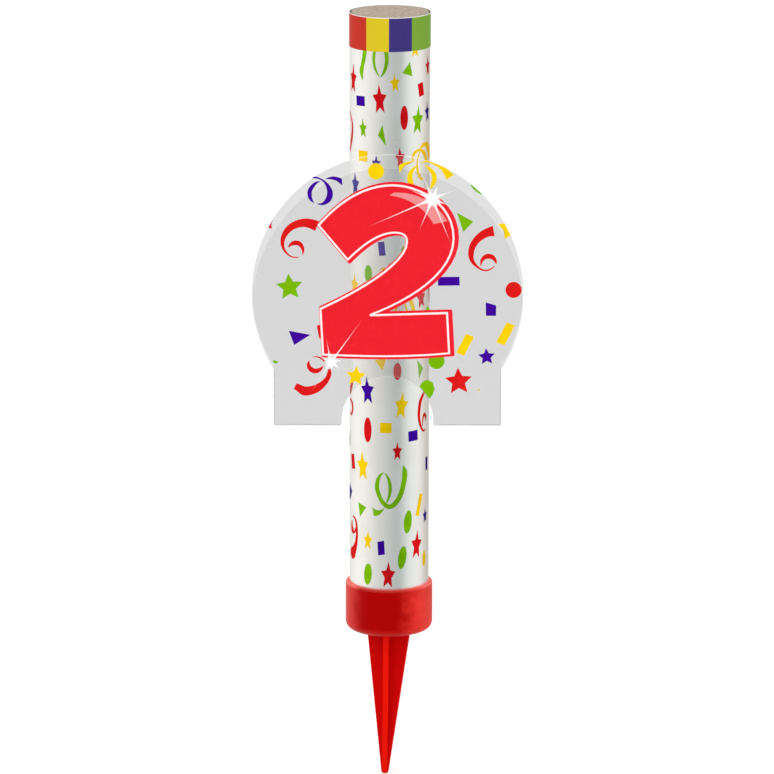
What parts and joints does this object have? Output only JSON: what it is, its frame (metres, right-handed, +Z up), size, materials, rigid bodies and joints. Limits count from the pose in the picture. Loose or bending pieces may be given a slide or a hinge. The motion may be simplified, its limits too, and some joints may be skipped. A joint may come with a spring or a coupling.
{
  "type": "number sparkler candle",
  "caption": "Cake fountain with a number plaque: a foil-wrapped spark tube in a moulded foot with a cake spike, and a translucent plaque with a bold number that slides along the tube.",
  "frame": {"origin": "on the tube's axis at the underside of the foot's cup, where the icing's surface is once the spike is pushed in", "axes": "+Z up along the tube, -Y the way the number faces, +X to the right of a person who reads it"},
  "size_m": [0.0546, 0.0208, 0.1596],
  "materials": {
    "red_plastic": "satin",
    "tube_paper": "matte",
    "printed_foil": "satin",
    "striped_paper": "satin",
    "brown_card": "matte",
    "clay": "matte",
    "spark_composition": "matte",
    "priming": "matte",
    "match_cord": "matte",
    "tinted_plate": "satin",
    "clear_film": "gloss",
    "number_red": "gloss",
    "number_white": "gloss",
    "clear_clip": "gloss",
    "clip_tape": "matte"
  },
  "bodies": {
    "foot": {"spike_foot": "red_plastic"},
    "fountain": {"paper_tube": "tube_paper", "foil_wrap": "printed_foil", "stripe_band": "striped_paper", "card_seal": "brown_card", "base_plug": "clay", "spark_charge": "spark_composition", "priming_layer": "priming", "retaining_washer": "brown_card", "quick_match": "match_cord"},
    "plaque": {"plaque_plate": "tinted_plate", "plaque_film": "clear_film", "number_border": "number_red", "number_keyline": "number_white", "number_face": "number_red", "upper_clip": "clear_clip", "lower_clip": "clear_clip", "upper_clip_tape": "clip_tape", "lower_clip_tape": "clip_tape"}
  },
  "joints": [
    {"name": "tube_pull", "type": "slide", "parent": "foot", "child": "fountain", "axis": [0, 0, 1], "range_m": [0, 0.03]},
    {"name": "plaque_slide", "type": "slide", "parent": "fountain", "child": "plaque", "axis": [0, 0, 1], "range_m": [-0.0449, 0.032]}
  ]
}
